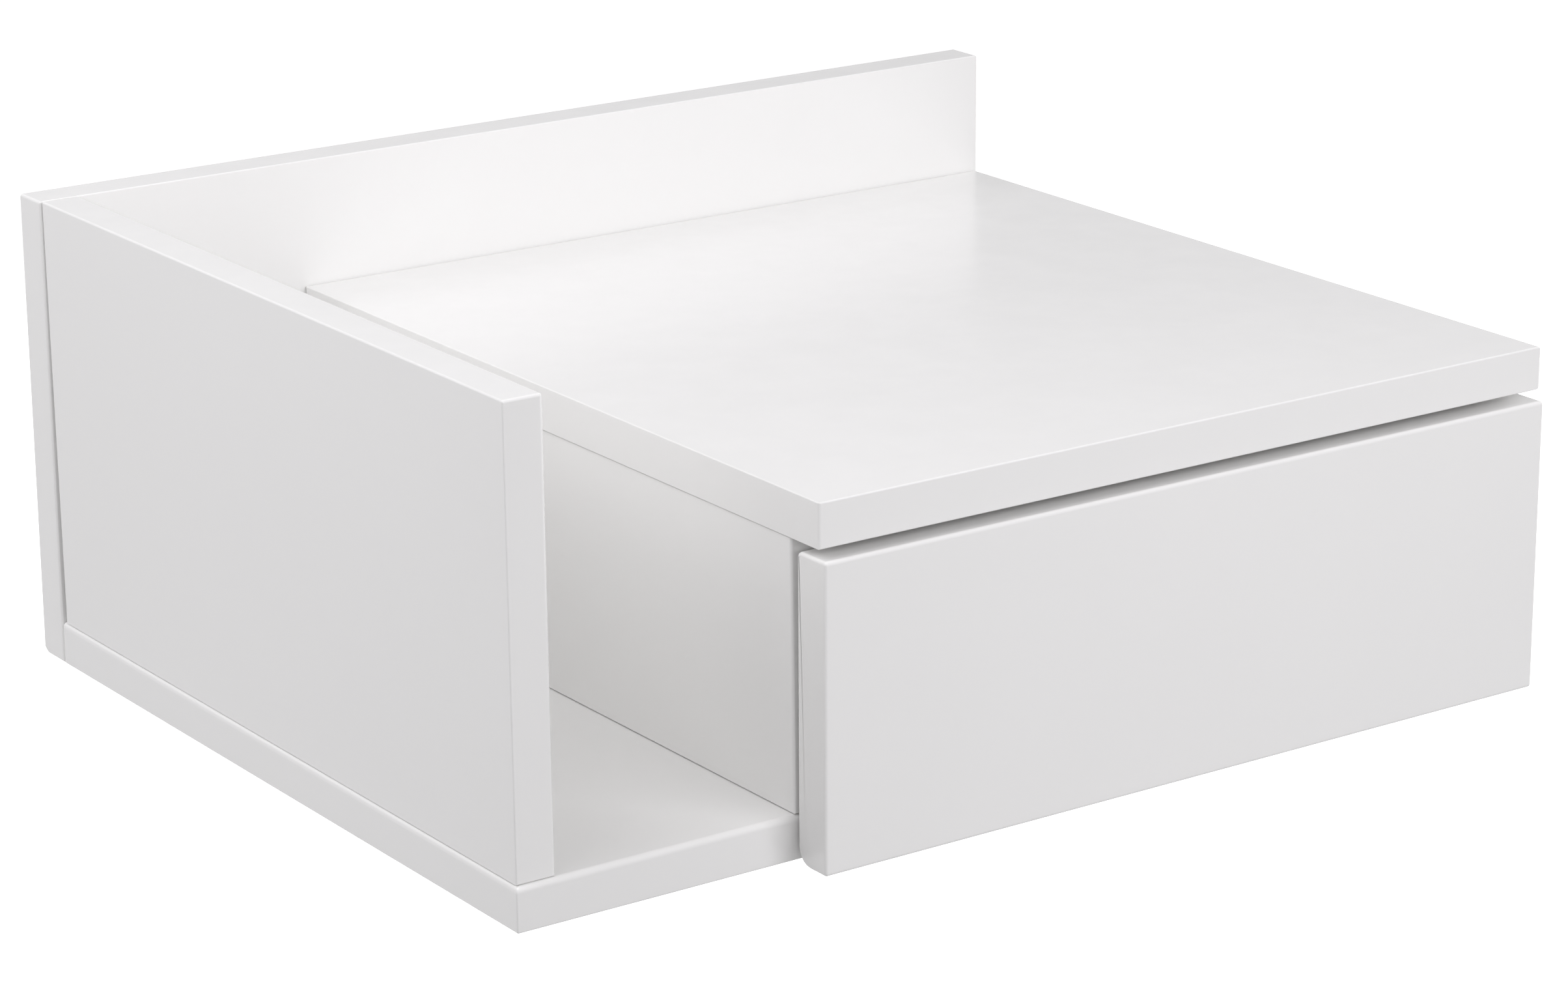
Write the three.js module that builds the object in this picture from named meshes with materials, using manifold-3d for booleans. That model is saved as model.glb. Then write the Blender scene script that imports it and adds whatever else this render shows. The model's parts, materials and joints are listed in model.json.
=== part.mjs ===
// Floating nightstand: an open nook on the left, one handleless drawer under a top on the right.
// Lengths are in millimetres. +Z is up, +X is to the right of someone facing the front.
// +Y points into the wall. The origin is the middle of the back board's rear face, on the wall.

import * as THREE from 'three';
import Module from 'manifold-3d';
import { mergeVertices } from 'three/addons/utils/BufferGeometryUtils.js';
import { RoundedBoxGeometry } from 'three/addons/geometries/RoundedBoxGeometry.js';

const wasm = await Module();
wasm.setup();

// Fits shared by the whole piece
const seam = 0.3;
const seat = 0.3;
const overrun = 2;

// Carcase
const width = 400;
const height = 166;
const boardThickness = 15;
const carcaseDepth = 300;
const nookWidth = 87;
const bayHeight = 90.5;
const topOverhang = 14.5;
const topSideLap = 0.5;
const bottomLip = 0.8;
const edgeEase = 1.5;
const easeSteps = 2;

// Drawer
const frontThickness = 15;
const frontGap = 2;
const frontReveal = 3.5;
const frontDrop = 0.5;
const frontInset = 0.5;
const boxThickness = 12;
const boxHeight = 66;
const boxEase = 1;
const boxFloorThickness = 3;
const boxFloorRise = 10;
const grooveDepth = 5;

// Roller runners
const runnerSpace = 12.5;
const runnerRearGap = 48;
const boxPastRunner = 12;
const runnerOverlapOut = 60;
const runnerGauge = 1.2;
const runnerRise = 4;
const runnerSetback = 2;
const channelReach = 10;
const channelLip = 3.5;
const capReach = 8.5;
const capNotch = 40;
const channelSlack = 0.6;
const ledgeStandoff = 3;
const ledgeWidth = 9.8;
const boxLift = 3;
const rollerRadius = 8.5;
const rollerWidth = 5.8;
const rollerSetback = 12;
const rollerHub = 4.4;
const rollerRim = 7;
const rollerDish = 1;
const rollerChamfer = 0.6;
const stopReach = 7;
const stopHeight = 6;
const axleRadius = 2.25;
const axleHeadRadius = 3.75;
const axleHeadThickness = 0.8;
const axleHeadChamfer = 0.3;
const shoulderRadius = 3.4;
const runnerScrewHole = 2.4;
const runnerHoleShares = [0.12, 0.52, 0.9];

// Fasteners
const screwHeadRadius = 4.7;
const screwHeadTaper = 3;
const screwCollarRadius = 3.4;
const screwCollarLength = 12;
const screwShankRadius = 2.6;
const screwLength = 50;
const screwTip = 3;
const screwEndDistance = 50;
const screwSink = 0.2;
const camRadius = 7.5;
const camDepth = 12.4;
const camEdgeDistance = 24;
const camSink = 0.2;
const boltThreadRadius = 2.5;
const boltThreadLength = 10;
const boltCollarRadius = 3.2;
const boltCollarLength = 1.5;
const boltNeckRadius = 2;
const boltHeadRadius = 3;
const boltHeadLength = 3.5;
const boltReachPastCam = 2;
const dowelRadius = 3;
const dowelInSide = 20;
const dowelInFront = 10;
const dowelChamfer = 0.8;
const dowelHeightShares = [0.38, 0.8];
const boxScrewHeadRadius = 3.6;
const boxScrewHeadTaper = 2;
const boxScrewRadius = 1.9;
const boxScrewLength = 35;
const boxScrewTip = 2.5;
const boxScrewHeightShares = [0.45, 0.82];
const bumperRadius = 4;

// Wall hangers
const hangerWidth = 36;
const hangerHeight = 52;
const hangerThickness = 2;
const hangerCorner = 4;
const hangerInset = 52;
const hangerDrop = 34;
const hangerScrewGap = 12;
const keyRadius = 5.5;
const keySlotRadius = 2.6;
const keySlotLength = 16;
const keyPocketRadius = 7;
const keyPocketDepth = 9;
const hangerScrewRadius = 2.2;
const hangerScrewMargin = 6;

// Facets round a turned piece
const pinFacets = 8;
const rollerFacets = 18;
const camFacets = 16;
const arcSteps = 4;

// Places that follow from the sizes
const bottom = -height / 2;
const halfWidth = width / 2;
const bayFloor = bottom + boardThickness;
const bayTop = bayFloor + bayHeight;
const boardsRear = -(boardThickness + seam);
const carcaseFront = boardsRear - carcaseDepth;
const dividerLeft = -halfWidth + boardThickness + nookWidth;
const bayLeft = dividerLeft + boardThickness;
const bayRight = halfWidth - boardThickness;
const frontRear = carcaseFront - frontGap;
const boxLeft = bayLeft + runnerSpace;
const boxRight = bayRight - runnerSpace;
const runnerFront = carcaseFront + runnerSetback;
const runnerLength = carcaseDepth - runnerSetback - runnerRearGap;
const drawerTravel = runnerLength - runnerOverlapOut;
const boxFront = frontRear + seam;
const boxRear = boxFront + runnerLength + boxPastRunner;
const boxBottom = bayFloor + runnerRise + boxLift;
const boxTop = boxBottom + boxHeight;
const boxFloorUnder = boxBottom + boxFloorRise;
const boxFloorTop = boxFloorUnder + boxFloorThickness;
const runnerBase = bayFloor + runnerRise;
const rollerHeight = runnerBase + runnerGauge + seat + rollerRadius;
const ledgeUnder = rollerHeight + rollerRadius + seat;
const channelTop = ledgeUnder + runnerGauge + channelSlack + runnerGauge;
const rollerNear = (runnerSpace - seat - runnerGauge) / 2 - rollerWidth / 2;
const innerRunnerFront = frontRear + seat + seam;
const rearRollerPlace = innerRunnerFront + runnerLength - rollerSetback;

// Directions
const right = new THREE.Vector3(1, 0, 0);
const left = new THREE.Vector3(-1, 0, 0);
const rearward = new THREE.Vector3(0, 1, 0);
const forward = new THREE.Vector3(0, -1, 0);
const up = new THREE.Vector3(0, 0, 1);
const lathe = new THREE.Vector3(0, 1, 0);

// Colours and gloss
const lacquer = new THREE.MeshStandardMaterial({ color: 0xf3f2f0, roughness: 0.34, metalness: 0 });
const foil = new THREE.MeshStandardMaterial({ color: 0xefeeea, roughness: 0.5, metalness: 0 });
const enamelledSteel = new THREE.MeshStandardMaterial({ color: 0xe9e9e6, roughness: 0.4, metalness: 0.1 });
const nylon = new THREE.MeshStandardMaterial({ color: 0xdedcd4, roughness: 0.45, metalness: 0 });
const zincSteel = new THREE.MeshStandardMaterial({ color: 0xb9bcc0, roughness: 0.35, metalness: 0.9 });
const dieCastZinc = new THREE.MeshStandardMaterial({ color: 0xa4a6a9, roughness: 0.5, metalness: 0.8 });
const beech = new THREE.MeshStandardMaterial({ color: 0xcfa878, roughness: 0.7, metalness: 0 });
const clearSilicone = new THREE.MeshStandardMaterial({ color: 0xd9dde0, roughness: 0.25, metalness: 0 });

// A closed three.js geometry as a solid that can be joined and cut.
function solidOf(geometry) {
  const bare = new THREE.BufferGeometry();
  bare.setAttribute('position', geometry.getAttribute('position'));
  bare.setIndex(geometry.getIndex());
  const merged = mergeVertices(bare);
  const mesh = new wasm.Mesh({
    numProp: 3,
    vertProperties: merged.getAttribute('position').array,
    triVerts: new Uint32Array(merged.getIndex().array),
  });
  return new wasm.Manifold(mesh);
}

// A board between two opposite corners, with every edge eased.
function easedBoard(low, high, ease) {
  const size = high.clone().sub(low);
  const geometry = new RoundedBoxGeometry(size.x, size.y, size.z, easeSteps, ease);
  const middle = high.clone().add(low).multiplyScalar(1 / 2);
  geometry.translate(middle.x, middle.y, middle.z);
  return solidOf(geometry);
}

// A square-edged block between two opposite corners, for cuts.
function block(low, high) {
  const size = high.clone().sub(low);
  const geometry = new THREE.BoxGeometry(size.x, size.y, size.z);
  const middle = high.clone().add(low).multiplyScalar(1 / 2);
  geometry.translate(middle.x, middle.y, middle.z);
  return solidOf(geometry);
}

// A profile of [radius, distance] points turned about a line that leaves a place in a direction.
function turned(profile, place, direction, facets) {
  const points = profile.map(([radius, distance]) => new THREE.Vector2(radius, distance));
  const geometry = new THREE.LatheGeometry(points, facets);
  geometry.applyQuaternion(new THREE.Quaternion().setFromUnitVectors(lathe, direction));
  geometry.translate(place.x, place.y, place.z);
  return solidOf(geometry);
}

// A plain round bar or hole from a place along a direction.
function bar(radius, length, place, direction, facets) {
  return turned([[0, 0], [radius, 0], [radius, length], [0, length]], place, direction, facets);
}

// A section of [x, z] points drawn along Y between two planes.
function drawnAlongY(points, front, rear) {
  const shape = new THREE.Shape(points.map(([x, z]) => new THREE.Vector2(x, z)));
  const geometry = new THREE.ExtrudeGeometry(shape, { depth: rear - front, bevelEnabled: false });
  geometry.rotateX(Math.PI / 2);
  geometry.translate(0, rear, 0);
  return solidOf(geometry);
}

// A plate in the wall plane, cut from a shape in X and Z, from a rear plane forward.
function plate(shape, thickness, rear) {
  const geometry = new THREE.ExtrudeGeometry(shape, {
    depth: thickness,
    bevelEnabled: false,
    curveSegments: arcSteps,
  });
  geometry.rotateX(Math.PI / 2);
  geometry.translate(0, rear, 0);
  return solidOf(geometry);
}

// A solid as a named mesh that stands at the middle of its own extents.
function part(name, solid, material) {
  const { vertProperties, triVerts, numProp } = solid.getMesh();
  const shared = new THREE.BufferGeometry();
  shared.setAttribute('position', new THREE.BufferAttribute(vertProperties, numProp));
  shared.setIndex(new THREE.BufferAttribute(triVerts, 1));
  const geometry = shared.toNonIndexed();
  geometry.computeBoundingBox();
  const middle = geometry.boundingBox.getCenter(new THREE.Vector3());
  geometry.translate(-middle.x, -middle.y, -middle.z);
  geometry.computeVertexNormals();
  const mesh = new THREE.Mesh(geometry, material);
  mesh.name = name;
  mesh.position.copy(middle);
  return mesh;
}

// The left and right runners are one design: x grows from the bay's wall towards the drawer.
const sides = [
  { hand: 'left', wall: bayLeft, outward: 1, towardsDrawer: right },
  { hand: 'right', wall: bayRight, outward: -1, towardsDrawer: left },
];

function fromWall(side, distance) {
  return side.wall + side.outward * distance;
}

// Structural screw with a countersunk head, drawn from its head inwards.
function screwProfile(clearance, sink) {
  const head = screwHeadRadius + clearance;
  const collar = screwCollarRadius + clearance;
  const shank = screwShankRadius + clearance;
  const taperEnd = screwHeadTaper + clearance;
  const collarEnd = screwHeadTaper + screwCollarLength + clearance;
  const end = screwLength + clearance;
  return [
    [0, -sink], [head, -sink], [head, clearance], [collar, taperEnd], [collar, collarEnd],
    [shank, collarEnd], [shank, end - screwTip], [0, end],
  ];
}

function structuralScrew(name, place, direction) {
  const headPlace = place.clone().addScaledVector(direction, screwSink);
  return {
    mesh: part(name, turned(screwProfile(0, 0), headPlace, direction, pinFacets), zincSteel),
    hole: turned(screwProfile(seat, overrun), headPlace, direction, pinFacets),
  };
}

// Screws up through the bottom board into the three upright boards.
function bottomScrews() {
  const lefts = [-halfWidth, dividerLeft, bayRight];
  const rows = [carcaseFront + screwEndDistance, boardsRear - screwEndDistance];
  const screws = [];
  for (const boardLeft of lefts) {
    for (const y of rows) {
      const place = new THREE.Vector3(boardLeft + boardThickness / 2, y, bottom);
      screws.push(structuralScrew(`bottom_screw_${screws.length + 1}`, place, up));
    }
  }
  return screws;
}

// Screws forward through the back board into the ends of the boards that meet it.
function rearScrews() {
  const uprightHeightShares = [0.25, 0.8];
  const bottomWidthShares = [0.3, 0.75];
  const topMiddleShare = 0.4;
  const sideX = halfWidth - boardThickness / 2;
  const dividerX = dividerLeft + boardThickness / 2;
  const topZ = bayTop + boardThickness / 2;
  const topLastX = halfWidth - hangerInset - hangerWidth / 2 - hangerScrewGap;
  const topXs = [bayLeft + topMiddleShare * (topLastX - bayLeft), topLastX];
  const places = [];
  for (const share of uprightHeightShares) {
    places.push([-sideX, bottom + share * height]);
    places.push([dividerX, bayFloor + share * bayHeight]);
    places.push([sideX, bayFloor + share * bayHeight]);
  }
  bottomWidthShares.forEach((share, index) => {
    places.push([topXs[index], topZ]);
    places.push([-halfWidth + share * width, bottom + boardThickness / 2]);
  });
  return places.map(([x, z], index) =>
    structuralScrew(`rear_screw_${index + 1}`, new THREE.Vector3(x, 0, z), forward));
}

// A cam lock in the bay side of an upright, and the bolt that it draws down from the top board.
function camPair(name, side, y) {
  const top = bayTop - seam;
  const heart = new THREE.Vector3(fromWall(side, -boardThickness / 2), y, top - camEdgeDistance);
  const mouth = new THREE.Vector3(fromWall(side, -camSink), y, heart.z);
  const inward = side.towardsDrawer.clone().negate();
  const boltEnd = heart.clone().addScaledVector(up, -boltReachPastCam);
  const boltLength = bayTop + boltThreadLength - boltEnd.z;
  const neckStart = boltHeadLength;
  const collarStart = bayTop - seam - boltCollarLength - boltEnd.z;
  const threadStart = collarStart + boltCollarLength;
  const bolt = turned([
    [0, 0], [boltHeadRadius, 0], [boltHeadRadius, neckStart], [boltNeckRadius, neckStart],
    [boltNeckRadius, collarStart], [boltCollarRadius, collarStart], [boltCollarRadius, threadStart],
    [boltThreadRadius, threadStart], [boltThreadRadius, boltLength], [0, boltLength],
  ], boltEnd, up, pinFacets);
  const boreStart = boltEnd.clone().addScaledVector(up, -seat);
  const upperStart = new THREE.Vector3(heart.x, y, bayTop - seam);
  const upperLength = seam + boltThreadLength + seat;
  const lowerLength = upperStart.z - boreStart.z + seam;
  const lowerBore = bar(boltCollarRadius + seat, lowerLength, boreStart, up, pinFacets);
  const upperBore = bar(boltThreadRadius + seat, upperLength, upperStart, up, pinFacets);
  const cam = bar(camRadius, camDepth, mouth, inward, camFacets).subtract(lowerBore);
  const pocketStart = mouth.clone().addScaledVector(inward, -overrun);
  const pocket = bar(camRadius + seat, overrun + camDepth + seat, pocketStart, inward, camFacets);
  return {
    meshes: [part(`cam_lock_${name}`, cam, dieCastZinc), part(`cam_bolt_${name}`, bolt, zincSteel)],
    hole: pocket.add(lowerBore).add(upperBore),
  };
}

function camPairs() {
  const rows = [carcaseFront + screwEndDistance, boardsRear - screwEndDistance];
  const pairs = [];
  for (const side of sides) {
    for (const y of rows) {
      pairs.push(camPair(`${pairs.length + 1}`, side, y));
    }
  }
  return pairs;
}

// Outline of a rectangle with rounded corners, in X and Z about a middle.
function roundedOutline(x, z, wide, high, corner) {
  const shape = new THREE.Shape();
  const halfWide = wide / 2;
  const halfHigh = high / 2;
  const quarter = Math.PI / 2;
  shape.absarc(x + halfWide - corner, z - halfHigh + corner, corner, -quarter, 0, false);
  shape.absarc(x + halfWide - corner, z + halfHigh - corner, corner, 0, quarter, false);
  shape.absarc(x - halfWide + corner, z + halfHigh - corner, corner, quarter, Math.PI, false);
  shape.absarc(x - halfWide + corner, z - halfHigh + corner, corner, Math.PI, Math.PI + quarter, false);
  shape.closePath();
  return shape;
}

// Outline of a keyhole: a round entry below and a narrow slot above it.
function keyholeOutline(outline, x, z) {
  const meet = Math.asin(keySlotRadius / keyRadius);
  const quarter = Math.PI / 2;
  outline.absarc(x, z, keyRadius, quarter + meet, 2 * Math.PI + quarter - meet, false);
  outline.absarc(x, z + keySlotLength, keySlotRadius, 0, Math.PI, false);
  outline.closePath();
  return outline;
}

// A keyhole plate let into the rear of the back board, with room behind it for a wall screw's head.
function hanger(side) {
  const x = side.outward * -(halfWidth - hangerInset);
  const z = height / 2 - hangerDrop;
  const keyZ = z - keySlotLength / 2;
  const outline = roundedOutline(x, z, hangerWidth, hangerHeight, hangerCorner);
  outline.holes.push(keyholeOutline(new THREE.Path(), x, keyZ));
  for (const end of [1, -1]) {
    const hole = new THREE.Path();
    const holeZ = z + end * (hangerHeight / 2 - hangerScrewMargin);
    hole.absarc(x, holeZ, hangerScrewRadius, 0, 2 * Math.PI, false);
    outline.holes.push(hole);
  }
  const recess = roundedOutline(x, z, hangerWidth + 2 * seat, hangerHeight + 2 * seat, hangerCorner + seat);
  const pocket = roundedOutline(
    x, z, 2 * keyPocketRadius, keySlotLength + 2 * keyPocketRadius, keyPocketRadius - seat);
  const recessCut = plate(recess, hangerThickness + 2 * seat + overrun, overrun);
  const pocketCut = plate(pocket, keyPocketDepth, 0);
  return {
    mesh: part(`hanger_plate_${side.hand}`, plate(outline, hangerThickness, -seat), zincSteel),
    hole: recessCut.add(pocketCut),
  };
}

// The six boards of the carcase, bored for what joins them.
function carcaseBoards(holes) {
  const v = (x, y, z) => new THREE.Vector3(x, y, z);
  const top = bottom + height;
  const extents = {
    back_board: [v(-halfWidth, -boardThickness, bottom), v(halfWidth, 0, top)],
    bottom_board: [v(-halfWidth, carcaseFront - bottomLip, bottom), v(halfWidth, boardsRear, bayFloor)],
    left_side: [
      v(-halfWidth, carcaseFront, bayFloor + seam), v(-halfWidth + boardThickness, boardsRear, top)],
    divider: [v(dividerLeft, carcaseFront, bayFloor + seam), v(bayLeft, boardsRear, bayTop - seam)],
    right_side: [v(bayRight, carcaseFront, bayFloor + seam), v(halfWidth, boardsRear, bayTop - seam)],
    top_board: [
      v(dividerLeft - topSideLap, carcaseFront - topOverhang, bayTop),
      v(halfWidth, boardsRear, bayTop + boardThickness)],
  };
  return Object.entries(extents).map(([name, [low, high]]) => {
    let solid = easedBoard(low, high, edgeEase);
    for (const hole of holes) {
      solid = solid.subtract(hole);
    }
    return part(name, solid, lacquer);
  });
}

// The channel on the bay's wall: a floor with a lip for the rear roller, and a cap that holds it down.
function cabinetRunner(side) {
  const rear = runnerFront + runnerLength;
  const webEnd = seat + runnerGauge;
  const floorTop = runnerBase + runnerGauge;
  const lipTop = runnerBase + channelLip;
  const lipInner = channelReach - runnerGauge;
  const capUnder = channelTop - runnerGauge;
  const section = [
    [seat, runnerBase], [channelReach, runnerBase], [channelReach, lipTop], [lipInner, lipTop],
    [lipInner, floorTop], [webEnd, floorTop], [webEnd, capUnder], [capReach, capUnder],
    [capReach, channelTop], [seat, channelTop],
  ].map(([distance, z]) => [fromWall(side, distance), z]);
  const notchEnds = [fromWall(side, webEnd), fromWall(side, capReach + overrun)].sort((a, b) => a - b);
  const notch = block(
    new THREE.Vector3(notchEnds[0], runnerFront - overrun, capUnder - channelSlack / 2),
    new THREE.Vector3(notchEnds[1], runnerFront + capNotch, channelTop + overrun));
  let solid = drawnAlongY(section, runnerFront, rear).subtract(notch);
  for (const share of runnerHoleShares) {
    const place = new THREE.Vector3(side.wall, runnerFront + share * runnerLength, rollerHeight);
    solid = solid.subtract(bar(runnerScrewHole, webEnd + seat, place, side.towardsDrawer, pinFacets));
  }
  const rollerPlace = new THREE.Vector3(side.wall, runnerFront + rollerSetback, rollerHeight);
  solid = solid.subtract(bar(axleRadius + seat, webEnd + seat, rollerPlace, side.towardsDrawer, pinFacets));
  return part(`cabinet_runner_${side.hand}`, solid.add(drawerStop(side)), enamelledSteel);
}

// A tab pressed out of the channel's web, which the rear roller meets when the drawer is fully out.
function drawerStop(side) {
  const rollerFront = rearRollerPlace - drawerTravel - rollerRadius;
  const ends = [fromWall(side, seat), fromWall(side, stopReach)].sort((a, b) => a - b);
  return block(
    new THREE.Vector3(ends[0], rollerFront - seat - runnerGauge, rollerHeight - stopHeight / 2),
    new THREE.Vector3(ends[1], rollerFront - seat, rollerHeight + stopHeight / 2));
}

// The rail on the drawer: a ledge that rides on the front roller, a web, and a foot under the box side.
function drawerRunner(side) {
  const front = innerRunnerFront;
  const rear = front + runnerLength;
  const webOut = runnerSpace - seat;
  const webIn = webOut - runnerGauge;
  const footTop = boxBottom - seat;
  const section = [
    [ledgeStandoff, ledgeUnder], [webIn, ledgeUnder], [webIn, footTop - runnerGauge],
    [webOut + ledgeWidth, footTop - runnerGauge], [webOut + ledgeWidth, footTop], [webOut, footTop],
    [webOut, ledgeUnder + runnerGauge], [ledgeStandoff, ledgeUnder + runnerGauge],
  ].map(([distance, z]) => [fromWall(side, distance), z]);
  const rollerPlace = new THREE.Vector3(fromWall(side, webIn - seat), rear - rollerSetback, rollerHeight);
  const boreLength = runnerGauge + 2 * seat;
  let solid = drawnAlongY(section, front, rear);
  solid = solid.subtract(bar(axleRadius + seat, boreLength, rollerPlace, side.towardsDrawer, pinFacets));
  for (const share of runnerHoleShares.slice(0, -1)) {
    const place = rollerPlace.clone().setY(front + share * runnerLength);
    solid = solid.subtract(bar(runnerScrewHole, boreLength, place, side.towardsDrawer, pinFacets));
  }
  return part(`drawer_runner_${side.hand}`, solid, enamelledSteel);
}

// A nylon roller, dished between its hub and its rim, bored for its axle.
function roller(name, side, y) {
  const bore = axleRadius + seat;
  const rim = rollerRadius - rollerChamfer;
  const far = rollerWidth;
  const profile = [
    [bore, 0], [rollerHub, 0], [rollerHub, rollerDish], [rollerRim, rollerDish], [rollerRim, 0], [rim, 0],
    [rollerRadius, rollerChamfer], [rollerRadius, far - rollerChamfer], [rim, far], [rollerRim, far],
    [rollerRim, far - rollerDish], [rollerHub, far - rollerDish], [rollerHub, far], [bore, far], [bore, 0],
  ];
  const place = new THREE.Vector3(fromWall(side, rollerNear), y, rollerHeight);
  return part(`${name}_${side.hand}`, turned(profile, place, side.towardsDrawer, rollerFacets), nylon);
}

// A headed axle riveted in a runner's web: shoulder, journal through the roller, and head.
function axle(name, side, y, webFace, towardsRoller) {
  const shoulder = runnerGauge + shoulderLength(side, webFace, towardsRoller);
  const journal = shoulder + rollerWidth + 2 * seat;
  const end = journal + axleHeadThickness;
  const profile = [
    [0, 0], [axleRadius, 0], [axleRadius, runnerGauge + seat], [shoulderRadius, runnerGauge + seat],
    [shoulderRadius, shoulder], [axleRadius, shoulder], [axleRadius, journal], [axleHeadRadius, journal],
    [axleHeadRadius, end - axleHeadChamfer], [axleHeadRadius - axleHeadChamfer, end], [0, end],
  ];
  const place = new THREE.Vector3(fromWall(side, webFace), y, rollerHeight);
  return part(`${name}_${side.hand}`, turned(profile, place, towardsRoller, pinFacets), zincSteel);
}

// How far the shoulder stands out of the web, to end a running gap short of the roller.
function shoulderLength(side, webFace, towardsRoller) {
  const sign = Math.sign(towardsRoller.x) * side.outward;
  const rollerFace = sign > 0 ? rollerNear : rollerNear + rollerWidth;
  return sign * (rollerFace - webFace) - runnerGauge - seat;
}

// Runners, rollers and axles of one side of the bay, sorted by what they move with.
function runnerSet(side) {
  const frontY = runnerFront + rollerSetback;
  return {
    fixed: [cabinetRunner(side), axle('front_axle', side, frontY, seat, side.towardsDrawer)],
    rollers: [roller('front_roller', side, frontY), roller('rear_roller', side, rearRollerPlace)],
    sliding: [
      drawerRunner(side),
      axle('rear_axle', side, rearRollerPlace, runnerSpace - seat, side.towardsDrawer.clone().negate()),
    ],
  };
}

// Beech dowels between the drawer front and the ends of the box sides.
function drawerDowels() {
  const dowels = [];
  const length = dowelInFront + seam + dowelInSide;
  for (const x of [boxLeft + boxThickness / 2, boxRight - boxThickness / 2]) {
    for (const share of dowelHeightShares) {
      const place = new THREE.Vector3(x, frontRear - dowelInFront, boxBottom + share * boxHeight);
      const slim = dowelRadius - dowelChamfer;
      const profile = [
        [0, 0], [slim, 0], [dowelRadius, dowelChamfer], [dowelRadius, length - dowelChamfer],
        [slim, length], [0, length],
      ];
      const holeStart = place.clone().addScaledVector(rearward, -seat);
      dowels.push({
        mesh: part(`drawer_dowel_${dowels.length + 1}`, turned(profile, place, rearward, pinFacets), beech),
        hole: bar(dowelRadius + seat, length + 2 * seat, holeStart, rearward, pinFacets),
      });
    }
  }
  return dowels;
}

// Small countersunk screws through the box sides into the ends of the box's back.
function drawerScrews() {
  const screws = [];
  const y = boxRear - boxThickness / 2;
  const profile = (clearance, sink) => [
    [0, -sink], [boxScrewHeadRadius + clearance, -sink], [boxScrewHeadRadius + clearance, clearance],
    [boxScrewRadius + clearance, boxScrewHeadTaper + clearance],
    [boxScrewRadius + clearance, boxScrewLength - boxScrewTip + clearance], [0, boxScrewLength + clearance],
  ];
  for (const [x, direction] of [[boxLeft + screwSink, right], [boxRight - screwSink, left]]) {
    for (const share of boxScrewHeightShares) {
      const place = new THREE.Vector3(x, y, boxBottom + share * boxHeight);
      const name = `drawer_screw_${screws.length + 1}`;
      screws.push({
        mesh: part(name, turned(profile(0, 0), place, direction, pinFacets), zincSteel),
        hole: turned(profile(seat, overrun), place, direction, pinFacets),
      });
    }
  }
  return screws;
}

// The drawer's five boards, with the floor let into grooves of the front and the sides.
function drawerBoards(holes) {
  const v = (x, y, z) => new THREE.Vector3(x, y, z);
  const inLeft = boxLeft + boxThickness;
  const inRight = boxRight - boxThickness;
  const backFront = boxRear - boxThickness;
  const floorReach = grooveDepth - seat;
  const groove = block(
    v(inLeft - grooveDepth, frontRear - grooveDepth, boxFloorUnder - seat),
    v(inRight + grooveDepth, boxRear + overrun, boxFloorTop + seat));
  const bored = (solid) => holes.reduce((cut, hole) => cut.subtract(hole), solid.subtract(groove));
  const front = easedBoard(
    v(dividerLeft, frontRear - frontThickness, bottom - frontDrop),
    v(halfWidth - frontInset, frontRear, bayTop - frontReveal), edgeEase);
  const leftSide = easedBoard(v(boxLeft, boxFront, boxBottom), v(inLeft, boxRear, boxTop), boxEase);
  const rightSide = easedBoard(v(inRight, boxFront, boxBottom), v(boxRight, boxRear, boxTop), boxEase);
  const back = easedBoard(
    v(inLeft + seam, backFront, boxFloorTop + seam), v(inRight - seam, boxRear, boxTop), boxEase);
  const floor = block(
    v(inLeft - floorReach, frontRear - floorReach, boxFloorUnder),
    v(inRight + floorReach, boxRear, boxFloorTop));
  return [
    part('drawer_front', bored(front), lacquer),
    part('drawer_side_left', bored(leftSide), foil),
    part('drawer_side_right', bored(rightSide), foil),
    part('drawer_back', bored(back), foil),
    part('drawer_floor', floor, foil),
  ];
}

// Soft domes behind the drawer front that meet the edges of the divider and the right side.
function bumpers() {
  const thickness = frontGap - 2 * seat;
  const steps = 4;
  const profile = [[0, 0]];
  for (let step = 0; step <= steps; step += 1) {
    const angle = (step / steps) * (Math.PI / 2);
    profile.push([bumperRadius * Math.cos(angle), thickness * Math.sin(angle)]);
  }
  const z = bayTop - frontReveal - boardThickness;
  return [dividerLeft + boardThickness / 2, halfWidth - boardThickness / 2].map((x, index) => {
    const place = new THREE.Vector3(x, frontRear + seat, z);
    return part(`bumper_${sides[index].hand}`, turned(profile, place, rearward, pinFacets), clearSilicone);
  });
}

// The whole piece, grouped by what moves together.
function floatingNightstand() {
  const screws = [...bottomScrews(), ...rearScrews()];
  const cams = camPairs();
  const hangers = sides.map(hanger);
  const runners = sides.map(runnerSet);
  const dowels = drawerDowels();
  const boxScrews = drawerScrews();
  const carcase = new THREE.Group();
  const carcaseHoles = [...screws, ...cams, ...hangers].map(({ hole }) => hole);
  carcase.add(...carcaseBoards(carcaseHoles));
  carcase.add(...screws.map(({ mesh }) => mesh), ...cams.flatMap(({ meshes }) => meshes));
  carcase.add(...hangers.map(({ mesh }) => mesh), ...runners.flatMap(({ fixed }) => fixed));
  const drawer = new THREE.Group();
  drawer.add(...drawerBoards([...dowels, ...boxScrews].map(({ hole }) => hole)), ...bumpers());
  drawer.add(...dowels.map(({ mesh }) => mesh), ...boxScrews.map(({ mesh }) => mesh));
  drawer.add(...runners.flatMap(({ sliding }) => sliding));
  const rollers = new THREE.Group();
  rollers.add(...runners.flatMap((set) => set.rollers));
  const nightstand = new THREE.Group();
  nightstand.add(carcase, drawer, rollers);
  return nightstand;
}

export default floatingNightstand();
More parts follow.
